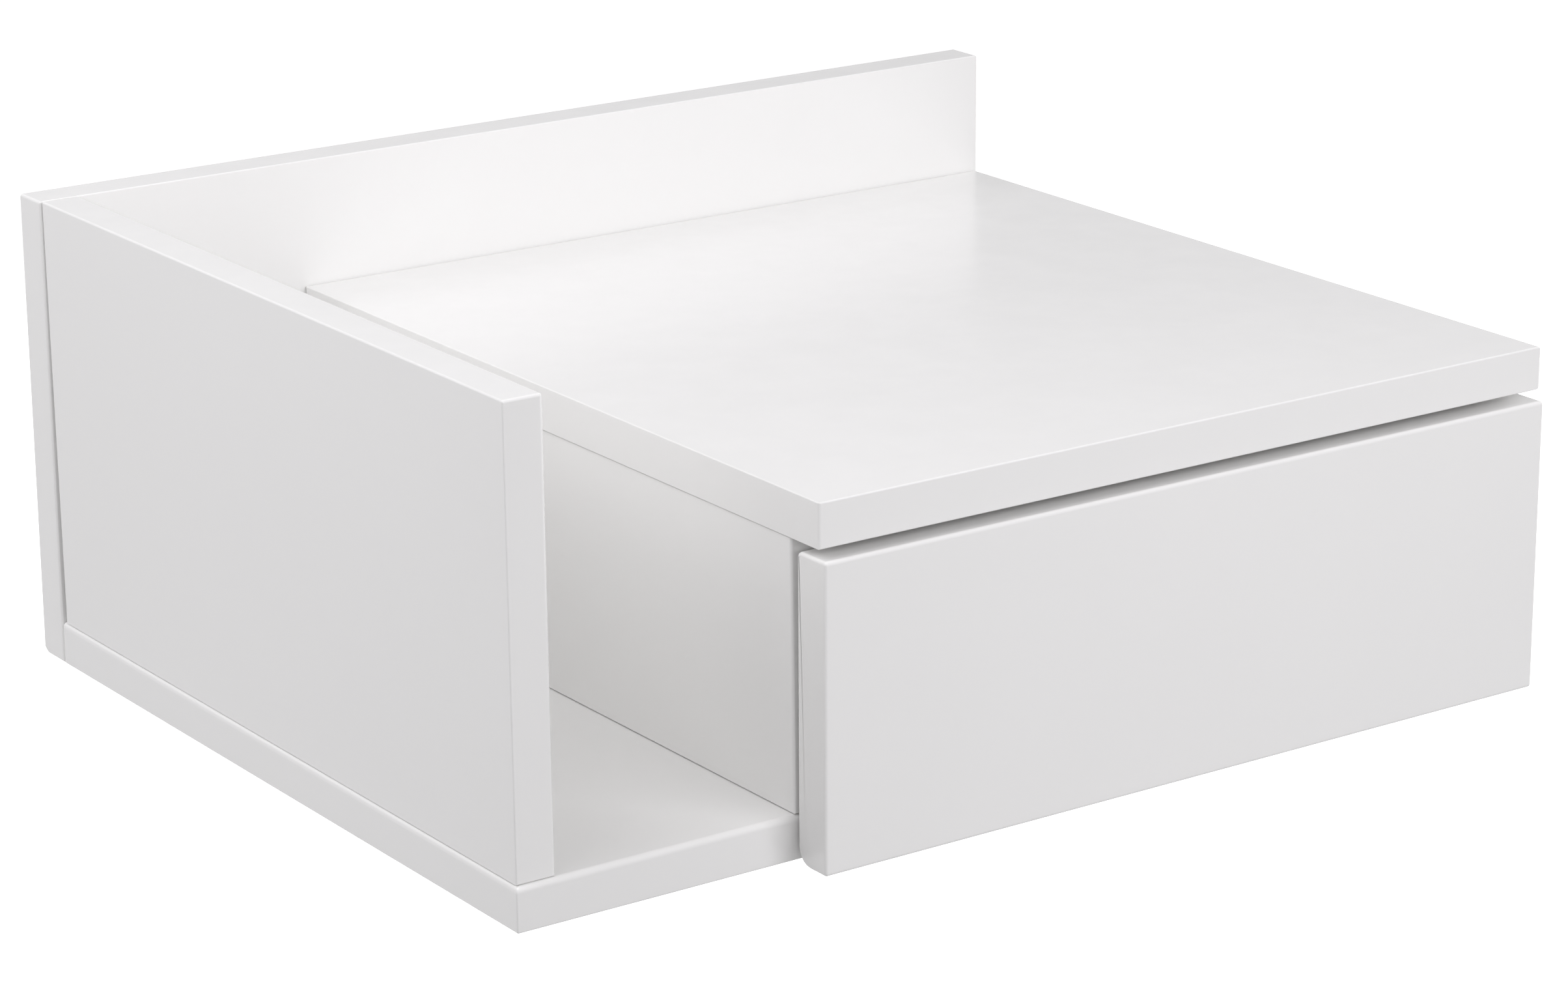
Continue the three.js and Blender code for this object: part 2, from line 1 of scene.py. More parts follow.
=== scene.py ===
"""Floating nightstand: the finished look of every piece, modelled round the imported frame.

Lengths are in metres in the piece's own frame: +Z is up, +X is to the right of someone facing the
drawer and +Y points into the wall. Small sizes are written in millimetres times MM.
"""

import json
import logging
import math
from collections.abc import Callable, Iterator, Mapping, Sequence
from contextlib import contextmanager
from dataclasses import dataclass
from enum import Enum
from functools import partial, reduce

import bmesh
import bpy
from mathutils import Matrix, Vector


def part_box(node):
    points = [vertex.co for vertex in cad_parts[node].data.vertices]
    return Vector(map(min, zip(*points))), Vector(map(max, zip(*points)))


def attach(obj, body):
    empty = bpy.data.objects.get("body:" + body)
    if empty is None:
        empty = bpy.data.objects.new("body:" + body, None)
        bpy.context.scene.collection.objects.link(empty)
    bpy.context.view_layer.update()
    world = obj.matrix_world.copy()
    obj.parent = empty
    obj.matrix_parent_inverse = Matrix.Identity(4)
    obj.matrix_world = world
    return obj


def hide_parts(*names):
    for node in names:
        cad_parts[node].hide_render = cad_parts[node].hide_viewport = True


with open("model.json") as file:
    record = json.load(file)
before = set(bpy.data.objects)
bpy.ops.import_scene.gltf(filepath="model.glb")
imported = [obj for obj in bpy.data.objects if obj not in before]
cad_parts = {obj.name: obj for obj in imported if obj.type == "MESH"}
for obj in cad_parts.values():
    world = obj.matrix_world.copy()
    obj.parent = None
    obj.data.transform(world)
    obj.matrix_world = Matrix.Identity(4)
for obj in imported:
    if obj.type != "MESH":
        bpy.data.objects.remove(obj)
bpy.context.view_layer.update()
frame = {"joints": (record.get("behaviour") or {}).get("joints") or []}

MM = 0.001
WHITE = (1.0, 1.0, 1.0)
CARCASE, DRAWER = "carcase", "drawer"

# The room round a piece that sits in another, and how far a cutter reaches past what it cuts
CLEARANCE = 0.3 * MM
OVERRUN = 2 * MM

# A unit vector lies along an axis when its share of that axis is larger than this
ALIGNED = 0.9

# Most of a noise's values lie between these two
NOISE_LOW, NOISE_HIGH = 0.3, 0.7

log = logging.getLogger("nightstand")

Piece = bpy.types.Object
Socket = bpy.types.NodeSocket
Colour = tuple[float, float, float]
Profile = Sequence[tuple[float, float]]
Test = Callable[[Vector, Vector], bool]
Feeds = Mapping[str | int, Socket | float | Sequence[float]]


class Direction(Enum):
    """The six ways along the axes."""

    RIGHT = (1, 0, 0)
    LEFT = (-1, 0, 0)
    REARWARD = (0, 1, 0)
    FORWARD = (0, -1, 0)
    UP = (0, 0, 1)
    DOWN = (0, 0, -1)

    @property
    def opposite(self) -> "Direction":
        """The way back."""
        return Direction(tuple(-step for step in self.value))

    @property
    def axis(self) -> int:
        """The number of the axis that it lies along."""
        return next(axis for axis, step in enumerate(self.value) if step)

    @property
    def sign(self) -> int:
        """One towards the axis's end, and minus one towards its start."""
        return sum(self.value)


RIGHT, LEFT, REARWARD, FORWARD, UP, DOWN = Direction


class Hand(Enum):
    """The two ends of the drawer bay."""

    LEFT = "left"
    RIGHT = "right"

    @property
    def inward(self) -> Direction:
        """The way from the bay's wall towards the drawer."""
        return RIGHT if self is Hand.LEFT else LEFT


# Finishes


class Tree:
    """The nodes of a material or of the world."""

    def __init__(self, owner: bpy.types.Material | bpy.types.World) -> None:
        """Opens the nodes of their owner and clears them."""
        owner.use_nodes = True
        self.nodes, self.links = owner.node_tree.nodes, owner.node_tree.links
        self.nodes.clear()

    def add(self, kind: str, feeds: Feeds, **settings: str) -> bpy.types.Node:
        """Adds a node.

        Args:
            kind: The node's type, without the start that all types share.
            feeds: What each input gets: a value, or another node's output.
            settings: Its properties, by name.

        Returns:
            The node.
        """
        node = self.nodes.new(f"ShaderNode{kind}")
        for key, value in settings.items():
            setattr(node, key, value)
        for key, value in feeds.items():
            socket = node.inputs[key]
            if isinstance(value, Socket):
                self.links.new(value, socket)
            else:
                socket.default_value = (*value, 1) if socket.type == "RGBA" else value
        return node

    def mix(self, share: Socket, first: Socket, second: Socket) -> Socket:
        """Adds a node that runs from one shader to another."""
        return self.add("MixShader", {0: share, 1: first, 2: second}).outputs[0]

    def math(self, operation: str, first: Socket, second: Socket | float) -> Socket:
        """Adds a node that works out one value from two."""
        return self.add("Math", {0: first, 1: second}, operation=operation).outputs[0]

    def rays(self, *kinds: str) -> Socket:
        """Adds the nodes that tell whether a ray is of one of some kinds."""
        tests = self.add("LightPath", {}).outputs
        return reduce(partial(self.math, "MAXIMUM"), [tests[f"Is {kind} Ray"] for kind in kinds])

    def noise(self, size: float, detail: float, stretch: Colour) -> Socket:
        """Adds noise over the piece's own space.

        Args:
            size: The width of one cloud.
            detail: How many finer layers lie over it.
            stretch: How many times longer a cloud is along each axis.

        Returns:
            The noise, from 0 to 1.
        """
        feeds = {
            "Vector": self.add("TexCoord", {}).outputs["Object"],
            "Scale": [1 / (size * way) for way in stretch]}
        spot = self.add("Mapping", feeds).outputs["Vector"]
        return self.add("TexNoise", {"Vector": spot, "Scale": 1.0, "Detail": detail}).outputs["Fac"]

    def spread(self, noise: Socket, low: float, high: float) -> Socket:
        """Spreads the middle of a noise from one value to another."""
        ends = {"From Min": NOISE_LOW, "From Max": NOISE_HIGH, "To Min": low, "To Max": high}
        return self.add("MapRange", {"Value": noise, **ends}).outputs["Result"]


VARNISH = (("IOR", 1.5),)
METAL = (("Metallic", 1.0),)
PLASTIC = (("IOR", 1.53), ("Subsurface Weight", 0.2), ("Subsurface Scale", 1.5 * MM))
RUBBER = (("IOR", 1.41), ("Transmission Weight", 0.85))


@dataclass(frozen=True)
class Finish:
    """A finish: a colour that drifts a little, a gloss that drifts a little, and a fine relief."""

    slot: str
    colour: Colour
    drift: float
    drift_size: float
    gloss: tuple[float, float]
    relief_size: float
    relief_depth: float
    stretch: Colour = WHITE
    traits: tuple[tuple[str, float], ...] = VARNISH

    def material(self) -> bpy.types.Material:
        """Gives the finish's material, and makes it the first time.

        Returns:
            The material.
        """
        name = f"{self.slot}_finish"
        if name in bpy.data.materials:
            return bpy.data.materials[name]
        material = bpy.data.materials.new(name)
        tree = Tree(material)
        drift, gloss, relief = (tree.noise(size, detail, self.stretch) for size, detail in (
            (self.drift_size, 3), (self.drift_size / 3, 3), (self.relief_size, 2)))
        faded = tuple(channel * (1 - self.drift) for channel in self.colour)
        colour = tree.add(
            "Mix", {0: tree.spread(drift, 0, 1), 6: faded, 7: self.colour}, data_type="RGBA")
        bump = tree.add("Bump", {"Height": relief, "Distance": self.relief_depth, "Strength": 1.0})
        shader = tree.add("BsdfPrincipled", {
            "Base Color": colour.outputs[2], "Roughness": tree.spread(gloss, *self.gloss),
            "Normal": bump.outputs["Normal"], **dict(self.traits)})
        tree.add("OutputMaterial", {"Surface": shader.outputs[0]})
        return material


LACQUER = Finish(
    "white_lacquer", (0.89, 0.887, 0.876), 0.006, 45 * MM, (0.2, 0.26), 2.2 * MM, 0.0016 * MM)
FOIL = Finish(
    "white_foil", (0.80, 0.80, 0.78), 0.015, 12 * MM, (0.46, 0.56), 0.5 * MM, 0.01 * MM, (1, 6, 1))
ENAMEL = Finish(
    "enamelled_steel", (0.78, 0.78, 0.765), 0.01, 20 * MM, (0.3, 0.42), 0.9 * MM, 0.02 * MM)
NYLON = Finish(
    "nylon", (0.74, 0.73, 0.69), 0.03, 4 * MM, (0.38, 0.5), 0.4 * MM, 0.01 * MM, traits=PLASTIC)
ZINC = Finish(
    "zinc_steel", (0.66, 0.67, 0.69), 0.12, 2.5 * MM, (0.24, 0.4), 0.3 * MM, 0.008 * MM,
    traits=METAL)
DIE_CAST = Finish(
    "die_cast_zinc", (0.46, 0.465, 0.475), 0.18, 1.2 * MM, (0.42, 0.6), 0.25 * MM, 0.03 * MM,
    traits=METAL)
BEECH = Finish(
    "beech", (0.64, 0.45, 0.27), 0.3, 0.6 * MM, (0.6, 0.75), 0.25 * MM, 0.04 * MM, (1, 8, 1))
SILICONE = Finish(
    "clear_silicone", (0.93, 0.94, 0.95), 0.01, 3 * MM, (0.12, 0.2), 0.8 * MM, 0.003 * MM,
    traits=RUBBER)


# Ways of working


def choose(piece: Piece) -> None:
    """Makes one object the only selected and the active one.

    Args:
        piece: The object.
    """
    bpy.ops.object.select_all(action="DESELECT")
    piece.select_set(True)
    bpy.context.view_layer.objects.active = piece


@contextmanager
def edit_mode(piece: Piece) -> Iterator[None]:
    """Opens a piece in edit mode with all of it selected, and closes it afterwards.

    Args:
        piece: The piece.
    """
    choose(piece)
    bpy.ops.object.mode_set(mode="EDIT")
    bpy.ops.mesh.select_all(action="SELECT")
    yield
    bpy.ops.object.mode_set(mode="OBJECT")


def pick(piece: Piece, wanted: Test) -> None:
    """Selects only the edges of the open piece that a test wants.

    Args:
        piece: The piece.
        wanted: Gets the middle and the direction of each edge.
    """
    bpy.ops.mesh.select_all(action="DESELECT")
    bpy.ops.mesh.select_mode(type="EDGE")
    for edge in bmesh.from_edit_mesh(piece.data).edges:
        start, end = (vertex.co for vertex in edge.verts)
        if wanted((start + end) / 2, (end - start).normalized()):
            edge.select_set(True)
    bmesh.update_edit_mesh(piece.data)


def round_edges(piece: Piece, wanted: Test, radius: float, segments: int) -> None:
    """Rounds the edges of the open piece that a test wants."""
    pick(piece, wanted)
    bpy.ops.mesh.bevel(offset=radius, offset_type="OFFSET", segments=segments, affect="EDGES")


def face_outward() -> None:
    """Turns every face of the open piece outward."""
    bpy.ops.mesh.select_all(action="SELECT")
    bpy.ops.mesh.normals_make_consistent(inside=False)


def named(name: str) -> Piece:
    """Names the object that was just added, and moves its place into its mesh.

    Args:
        name: Its name.

    Returns:
        The object.
    """
    piece = bpy.context.object
    piece.name = piece.data.name = name
    bpy.ops.object.transform_apply(location=True, rotation=True, scale=True)
    return piece


def block(name: str, low: Vector, high: Vector) -> Piece:
    """Makes a square block between its lowest and its highest corner."""
    bpy.ops.mesh.primitive_cube_add(size=1, location=(low + high) / 2, scale=high - low)
    return named(name)


def turned(name: str, profile: Profile, facets: int = 32, bored: bool = False) -> Piece:
    """Turns a profile about +Z, ring by ring from the origin up.

    Args:
        name: The piece's name.
        profile: The radius and height of each ring, none on the axis.
        facets: How many sides a ring has.
        bored: Whether the last ring is the first one again, so that a bore runs through.

    Returns:
        The turned piece.
    """
    radius, height = profile[0]
    bpy.ops.mesh.primitive_circle_add(vertices=facets, radius=radius, location=(0, 0, height))
    piece = named(name)
    with edit_mode(piece):
        for next_radius, next_height in profile[1:]:
            grow = next_radius / radius
            bpy.ops.mesh.extrude_edges_move(
                TRANSFORM_OT_translate={"value": (0, 0, next_height - height)})
            bpy.ops.transform.resize(value=(grow, grow, 1), center_override=(0, 0, next_height))
            radius, height = next_radius, next_height
        bpy.ops.mesh.select_all(action="SELECT")
        if bored:
            bpy.ops.mesh.remove_doubles(threshold=MM / 1000)
        else:
            bpy.ops.mesh.fill_holes(sides=0)
        face_outward()
    return piece


def lay(piece: Piece, place: Vector, way: Direction, roll: float = 0.0) -> Piece:
    """Turns a piece from +Z to a direction and moves its origin to a place.

    Args:
        piece: The piece, made about +Z from the origin.
        place: Where its origin goes.
        way: Where its +Z goes.
        roll: How far it is first turned about +Z, in radians.

    Returns:
        The piece.
    """
    turn = Vector(UP.value).rotation_difference(Vector(way.value)).to_matrix().to_4x4()
    piece.matrix_world = Matrix.Translation(place) @ turn @ Matrix.Rotation(roll, 4, "Z")
    choose(piece)
    bpy.ops.object.transform_apply(location=True, rotation=True, scale=True)
    return piece


def drill(
    radius: float, start: float, end: float, place: Vector, way: Direction, facets: int = 32
) -> Piece:
    """Makes a round cutter from a start to an end along a way, both measured from a place."""
    return lay(turned("cutter", [(radius, start), (radius, end)], facets), place, way)


def copied(piece: Piece, name: str) -> Piece:
    """Copies a piece with a mesh of its own.

    Args:
        piece: What is copied.
        name: The copy's name.

    Returns:
        The copy.
    """
    copy = piece.copy()
    copy.data = piece.data.copy()
    copy.name = copy.data.name = name
    bpy.context.scene.collection.objects.link(copy)
    return copy


def modify(piece: Piece, kind: str, **settings: object) -> None:
    """Adds one modifier and applies it.

    Args:
        piece: The piece.
        kind: The modifier's type.
        settings: Its properties, by name.
    """
    modifier = piece.modifiers.new(kind.lower(), kind)
    for key, value in settings.items():
        setattr(modifier, key, value)
    choose(piece)
    bpy.ops.object.modifier_apply(modifier=modifier.name)


def discard(*pieces: Piece) -> None:
    """Removes tools and patterns that aren't part of the object."""
    for piece in pieces:
        bpy.data.meshes.remove(piece.data)


def spans(piece: Piece) -> list[tuple[float, float]]:
    """Gives where a piece starts and ends along each axis."""
    return [(min(way), max(way)) for way in zip(*(vertex.co for vertex in piece.data.vertices))]


def cut(piece: Piece, cutters: Sequence[Piece]) -> None:
    """Cuts out of a piece each cutter whose box overlaps the piece's.

    Args:
        piece: The piece.
        cutters: The cutters.
    """
    for cutter in cutters:
        if all(low < end and start < high
               for (low, high), (start, end) in zip(spans(piece), spans(cutter))):
            modify(piece, "BOOLEAN", operation="DIFFERENCE", solver="EXACT", object=cutter)


def carve(piece: Piece, cutters: Sequence[Piece]) -> None:
    """Cuts cutters out of a piece and removes them."""
    cut(piece, cutters)
    discard(*cutters)


def fuse(piece: Piece, other: Piece) -> None:
    """Joins another to a piece as one solid, and removes it."""
    modify(piece, "BOOLEAN", operation="UNION", solver="EXACT", object=other)
    discard(other)


def smooth(piece: Piece, angle: float = 40.0) -> None:
    """Shades a piece smoothly, and keeps its flat faces flat and its sharp edges sharp.

    Args:
        piece: The piece.
        angle: The sharpest bend that still looks round, in degrees.
    """
    choose(piece)
    bpy.ops.object.shade_smooth_by_angle(angle=math.radians(angle), keep_sharp_edges=False)
    modify(piece, "WEIGHTED_NORMAL", keep_sharp=True, weight=100)


def soften(piece: Piece, width: float, bend: float) -> None:
    """Breaks a pressed piece's sharp edges: those that bend more than some degrees."""
    modify(piece, "BEVEL", width=width, segments=2, limit_method="ANGLE",
           angle_limit=math.radians(bend))


def fit(piece: Piece, finish: Finish, body: str, *nodes: str) -> None:
    """Dresses a finished piece and hands it to the body that it moves with.

    Args:
        piece: The piece.
        finish: Its finish.
        body: The body's name.
        nodes: The nodes of the frame that it stands for.
    """
    piece.data.materials.clear()
    piece.data.materials.append(finish.material())
    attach(piece, body)
    if nodes:
        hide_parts(*nodes)
    log.info("%s: %s, %d faces, on %s", piece.name, finish.slot, len(piece.data.polygons), body)


def middle(node: str) -> Vector:
    """Gives the middle of a node's box."""
    low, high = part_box(node)
    return (low + high) / 2


def size_of(node: str) -> tuple[float, float, float]:
    """Gives the width, depth and height of a node's box."""
    low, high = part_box(node)
    return tuple(top - bottom for top, bottom in zip(high, low))


def start_of(node: str, way: Direction) -> Vector:
    """Gives the middle of the face of a node's box that a direction leaves."""
    low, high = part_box(node)
    return middle(node) - Vector(step * length / 2 for step, length in zip(way.value, high - low))


# Fasteners


def in_millimetres(*pairs: tuple[float, float]) -> Profile:
    """Gives a profile that is written in millimetres."""
    return tuple((radius * MM, height * MM) for radius, height in pairs)


@dataclass(frozen=True)
class Placed:
    """A fastener: the node that it stands for, and its way in."""

    node: str
    way: Direction

    @property
    def place(self) -> Vector:
        """Where the fastener starts."""
        return start_of(self.node, self.way)

    def fill(
        self, pattern: Piece, ending: str, finish: Finish, body: str = CARCASE, roll: float = 0.0
    ) -> None:
        """Puts a copy of a pattern, modelled from the origin up, in the fastener's place."""
        copy = copied(pattern, f"{self.node}_{ending}")
        fit(lay(copy, self.place, self.way, roll), finish, body, self.node)


def row(stem: str, count: int, way: Direction, board: str = "") -> tuple[Placed, ...]:
    """Lists a numbered row of fasteners.

    Args:
        stem: Their name without its number.
        count: How many there are.
        way: Their way in.
        board: A board: from its middle on to the right they go in the opposite way.

    Returns:
        The fasteners.
    """
    nodes = [f"{stem}_{number}" for number in range(1, count + 1)]
    return tuple(
        Placed(node, way.opposite if board and middle(node).x >= middle(board).x else way)
        for node in nodes)


@dataclass(frozen=True)
class Recess:
    """A cross recess in a screw's head."""

    width: float
    wing: float
    depth: float

    def cut_from(self, piece: Piece) -> None:
        """Cuts the cross into a head that faces down at the origin.

        Args:
            piece: The screw, which runs up from the origin.
        """
        half = self.width / 2
        for turn in (0, math.pi / 2):
            bpy.ops.mesh.primitive_cone_add(
                vertices=4, radius1=half * math.sqrt(2), radius2=half / 2, depth=2 * self.depth)
            wing = named("cutter")
            wing.data.transform(Matrix.Rotation(math.pi / 4, 4, "Z"))
            wing.data.transform(Matrix.Diagonal((1, self.wing / self.width, 1, 1)))
            wing.data.transform(Matrix.Rotation(turn, 4, "Z"))
            carve(piece, [wing])


@dataclass(frozen=True)
class Thread:
    """A raised thread round a screw's core."""

    core: float
    crest: float
    pitch: float
    start: float
    end: float
    steps: int = 16

    def ridge(self) -> Piece:
        """Winds the thread's ridge about +Z.

        Returns:
            The ridge, closed at both ends and sunk a little into the core.
        """
        sunk = self.core - (self.crest - self.core) / 4
        half = self.pitch / 4
        bpy.ops.mesh.primitive_circle_add(vertices=3, radius=1, location=(0, 0, 0))
        ridge = named("thread_ridge")
        corners = [(self.crest, 0, 0), (sunk, 0, half), (sunk, 0, -half)]
        for vertex, corner in zip(ridge.data.vertices, corners):
            vertex.co = Vector(corner) + Vector((0, 0, self.start))
        modify(
            ridge, "SCREW", axis="Z", steps=self.steps, render_steps=self.steps,
            iterations=int((self.end - self.start) / self.pitch), screw_offset=self.pitch,
            use_merge_vertices=False)
        with edit_mode(ridge):
            bpy.ops.mesh.fill_holes(sides=3)
            face_outward()
        return ridge


@dataclass(frozen=True)
class Screw:
    """A screw: its head and shank from the head's face up, its thread and its recess, if any."""

    profile: Profile
    thread: Thread
    recess: Recess | None = None

    def pattern(self) -> Piece:
        """Models the screw about +Z, with its head's face at the origin.

        Returns:
            The screw.
        """
        screw = turned("screw_pattern", self.profile)
        fuse(screw, self.thread.ridge())
        if self.recess:
            self.recess.cut_from(screw)
        smooth(screw)
        return screw

    def bore(self, screw: Placed) -> Piece:
        """Makes the cutter for the hole of one such screw."""
        grown = [(radius + CLEARANCE, height + CLEARANCE) for radius, height in self.profile[1:]]
        return lay(turned("cutter", [(grown[0][0], -OVERRUN), *grown]), screw.place, screw.way)


STRUCTURAL_SCREW = Screw(
    in_millimetres(
        (4.4, 0), (4.7, 0.3), (4.7, 0.5), (3.4, 3), (3.4, 15), (2.0, 15.6), (2.0, 46), (0.3, 50)),
    Thread(core=2 * MM, crest=2.6 * MM, pitch=2.75 * MM, start=17 * MM, end=46 * MM),
    Recess(width=5 * MM, wing=1.1 * MM, depth=2.6 * MM))

BOX_SCREW = Screw(
    in_millimetres((3.4, 0), (3.6, 0.2), (3.6, 0.35), (1.5, 2), (1.5, 32.5), (0.25, 35)),
    Thread(core=1.5 * MM, crest=1.9 * MM, pitch=1.8 * MM, start=10 * MM, end=32.5 * MM),
    Recess(width=3.8 * MM, wing=0.9 * MM, depth=1.6 * MM))

PLATE_SCREW = Screw(
    in_millimetres((2.5, 0), (3.1, 0.2), (3.3, 0.5), (3.3, 0.7), (1.4, 0.7), (1.4, 9.5), (0.3, 11)),
    Thread(core=1.4 * MM, crest=1.8 * MM, pitch=1.4 * MM, start=2 * MM, end=9.5 * MM),
    Recess(width=3 * MM, wing=0.8 * MM, depth=0.5 * MM))

CAM_BOLT = Screw(
    in_millimetres(
        (2.7, 0), (3, 0.3), (3, 3.2), (2.7, 3.5), (2, 3.5), (2, 24.8), (3.2, 24.8),
        (3.2, 26.3), (1.9, 26.3), (1.9, 36), (1.6, 36.3)),
    Thread(
        core=1.9 * MM, crest=2.5 * MM, pitch=1.75 * MM, start=27.3 * MM, end=35.3 * MM))


def add_screws(
    pattern: Piece, node: str, places: Sequence[Vector], way: Direction, body: str
) -> None:
    """Puts copies of a small screw in the holes of the piece that stands for a node."""
    for number, place in enumerate(places, 1):
        fit(lay(copied(pattern, f"{node}_screw_{number}"), place, way, number), ZINC, body)


@dataclass
class Fasteners:
    """The screws, cam locks and cam bolts that hold the boards together."""

    structural: tuple[Placed, ...] = row("bottom_screw", 6, UP) + row("rear_screw", 10, FORWARD)
    in_box: tuple[Placed, ...] = row("drawer_screw", 4, RIGHT, "drawer_back")
    cams: tuple[Placed, ...] = row("cam_lock", 4, LEFT, "top_board")
    bolts: tuple[Placed, ...] = row("cam_bolt", 4, UP)
    screw_turn: float = math.radians(37)
    cam_facets: int = 64
    cam_rim: float = 0.8 * MM
    cam_cavity: float = 5.2 * MM
    cam_recess: Recess = Recess(width=7 * MM, wing=1.6 * MM, depth=2.4 * MM)
    bolt_head: float = 3 * MM
    bolt_neck: float = 2 * MM

    def carcase_bores(self) -> list[Piece]:
        """Makes the cutters for every hole that the fasteners need in the carcase.

        Returns:
            The cutters.
        """
        cutters = [STRUCTURAL_SCREW.bore(screw) for screw in self.structural]
        for cam in self.cams:
            length, _, width = size_of(cam.node)
            cutters.append(drill(
                width / 2 + CLEARANCE, -OVERRUN, length + CLEARANCE, cam.place, cam.way,
                self.cam_facets))
        # The widest ring that lies deepest is the end of the bolt's collar
        collar, start = max(CAM_BOLT.profile)
        wide, slim = collar + CLEARANCE, CAM_BOLT.thread.crest + CLEARANCE
        end = CAM_BOLT.profile[-1][1] + CLEARANCE
        for bolt in self.bolts:
            cutter = turned(
                "cutter", [(wide, -CLEARANCE), (wide, start), (slim, start), (slim, end)])
            cutters.append(lay(cutter, bolt.place, bolt.way))
        return cutters

    def box_bores(self) -> list[Piece]:
        """Makes the cutters for the small screws of the drawer box."""
        return [BOX_SCREW.bore(screw) for screw in self.in_box]

    def build_cams(self) -> None:
        """Models one cam lock, face down with its bolt coming in along +X, and copies it."""
        length, _, width = size_of("cam_lock_1")
        bolt_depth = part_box("cam_lock_1")[1].x - middle("cam_bolt_1").x
        radius = width / 2
        rim = radius - self.cam_rim
        pattern = turned("cam_pattern", [
            (rim - self.cam_rim, self.cam_rim / 2), (rim - self.cam_rim, 0),
            (radius - self.cam_rim / 4, 0), (radius, self.cam_rim / 4),
            (radius, length - self.cam_rim), (rim, length)], self.cam_facets)
        self.cam_recess.cut_from(pattern)
        head, neck = self.bolt_head + CLEARANCE, self.bolt_neck + CLEARANCE
        end = radius + OVERRUN
        cutters = [
            drill(self.cam_cavity, bolt_depth - head, bolt_depth + head, Vector(), UP),
            block("cutter", Vector((0, -neck, bolt_depth - neck)),
                  Vector((end, end, bolt_depth + neck))),
            drill(head, 0, end, Vector((0, 0, bolt_depth)), RIGHT)]
        carve(pattern, cutters)
        smooth(pattern)
        for cam in self.cams:
            cam.fill(pattern, "cast", DIE_CAST, roll=0.0 if cam.way is LEFT else math.pi)
        discard(pattern)

    def build(self) -> None:
        """Models one fastener of each kind and copies it to its places."""
        for kind, screws, body, turn in (
                (STRUCTURAL_SCREW, self.structural, CARCASE, self.screw_turn),
                (BOX_SCREW, self.in_box, DRAWER, self.screw_turn),
                (CAM_BOLT, self.bolts, CARCASE, 0)):
            pattern = kind.pattern()
            for index, screw in enumerate(screws):
                screw.fill(pattern, "threaded", ZINC, body, index * turn)
            discard(pattern)
        self.build_cams()


# Boards

BUTT = 0.15 * MM
Rules = tuple[tuple[tuple[Direction, ...], float], ...]


@dataclass(frozen=True)
class Board:
    """One board, with how far its edges are eased.

    Its rules go from the strongest to the weakest: an edge takes the first one whose faces all meet
    in it. A round-over's faces meet in the edge that it rounds.
    """

    node: str
    finish: Finish = LACQUER
    body: str = CARCASE
    ease: float = 1 * MM
    rules: Rules = ()
    set_in: tuple[tuple[Direction, float], ...] = ()
    round_overs: Rules = ()
    foot_lean: float = 0.0
    head_lean: float = 0.0
    segments: int = 5

    def corners(self) -> tuple[Vector, Vector]:
        """Gives the board's corners.

        Returns:
            The lowest and the highest one, with the set-in faces moved inward.
        """
        low, high = (Vector(corner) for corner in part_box(self.node))
        for way, depth in self.set_in:
            corner = high if way.sign > 0 else low
            corner[way.axis] -= way.sign * depth
        return low, high

    def faces_at(self, spot: Vector) -> set[Direction]:
        """Lists the ways that the square board's faces at a spot look."""
        low, high = self.corners()
        return {way for way in Direction if abs(
            spot[way.axis] - (high if way.sign > 0 else low)[way.axis]) < self.ease / 2}

    def ease_at(self, spot: Vector, along: Vector) -> float:
        """Gives the ease of one edge of the square board.

        Args:
            spot: The edge's middle.
            along: The edge's direction.

        Returns:
            How far the edge is eased. The lines within a round-over aren't.
        """
        met = self.faces_at(spot)
        if abs(along.x) > ALIGNED and len(met) < 2:
            return 0.0
        return next((ease for ways, ease in self.rules if met.issuperset(ways)), self.ease)

    def build(self, cutters: Sequence[Piece] = ()) -> None:
        """Models the board with its eased edges and its holes.

        Args:
            cutters: What is cut out of it.
        """
        board = block(f"{self.node}_panel", *self.corners())
        eases = sorted({self.ease, *(ease for _, ease in self.rules)})
        leans = ((REARWARD, DOWN), -self.foot_lean), ((FORWARD, UP), self.head_lean)
        with edit_mode(board):
            for ways, radius in self.round_overs:
                round_edges(
                    board, lambda spot, along: self.faces_at(spot).issuperset(ways), radius,
                    self.segments)
            for ease in eases:
                pick(board, lambda spot, along: self.ease_at(spot, along) == ease)
                bpy.ops.transform.edge_bevelweight(value=ease / eases[-1])
            for ways, shift in leans:
                if shift:
                    pick(board, lambda spot, along: (
                        abs(along.x) > ALIGNED and self.faces_at(spot).issuperset(ways)))
                    bpy.ops.transform.translate(value=(0, shift, 0))
        modify(board, "BEVEL", width=eases[-1], segments=self.segments, limit_method="WEIGHT",
               profile=0.5, use_clamp_overlap=False)
        cut(board, cutters)
        smooth(board)
        fit(board, self.finish, self.body, self.node)


